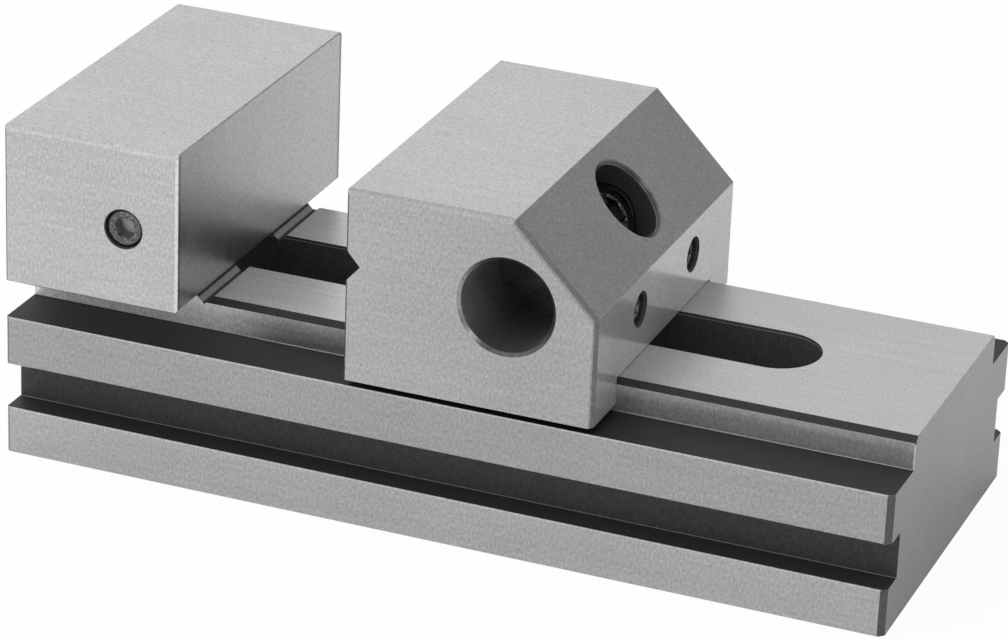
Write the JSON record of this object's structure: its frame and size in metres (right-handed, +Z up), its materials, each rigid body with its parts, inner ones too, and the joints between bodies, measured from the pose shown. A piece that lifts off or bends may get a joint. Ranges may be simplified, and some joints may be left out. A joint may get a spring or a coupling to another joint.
{
  "type": "grinding vise",
  "caption": "Low ground-steel precision vise with a fixed jaw, a sliding pull-down jaw on a slotted bed, a slanted clamp screw and side clamping grooves.",
  "frame": {"origin": "centre of the body's footprint, on the ground bottom face", "axes": "+X along the bed from the fixed jaw to the free end, +Y across the bed, +Z up from the table"},
  "size_m": [0.234, 0.1, 0.0895],
  "materials": {
    "ground_steel": "fine ground, satin to bright, with blackened unground recesses",
    "ground_jaw_steel": "fine ground, satin to bright",
    "turned_steel": "turned and hardened, oiled",
    "black_oxide_steel": "black oxide"
  },
  "bodies": {
    "base": {"body": "ground_steel", "stop_screws": "black_oxide_steel"},
    "jaw": {"movable_jaw": "ground_jaw_steel", "barrel_screws": "black_oxide_steel"},
    "swivel": {"swivel_barrel": "turned_steel", "thrust_washer": "turned_steel"},
    "screw": {"clamp_screw": "black_oxide_steel", "end_ring": "black_oxide_steel"},
    "nut": {"nut_bar": "turned_steel"}
  },
  "joints": [
    {"name": "jaw_slide", "type": "slide", "parent": "base", "child": "jaw", "axis": [1, 0, 0], "range_m": [-0.045, 0.075]},
    {"name": "barrel_swivel", "type": "hinge", "parent": "jaw", "child": "swivel", "pos_m": [0.0176, 0, 0.0665], "axis": [0, -1, 0], "range_deg": [0, 3.5]},
    {"name": "screw_turn", "type": "hinge", "parent": "swivel", "child": "screw", "pos_m": [0.0176, 0, 0.0665], "axis": [0.7071, 0, 0.7071], "range_deg": [0, 1440]},
    {"name": "nut_lift", "type": "slide", "parent": "swivel", "child": "nut", "axis": [0.7071, 0, 0.7071], "range_m": [0, 0.006]}
  ],
  "couplings": [
    {"joint": "screw_turn", "follows": "nut_lift", "rad_per_m": 4188.8}
  ]
}
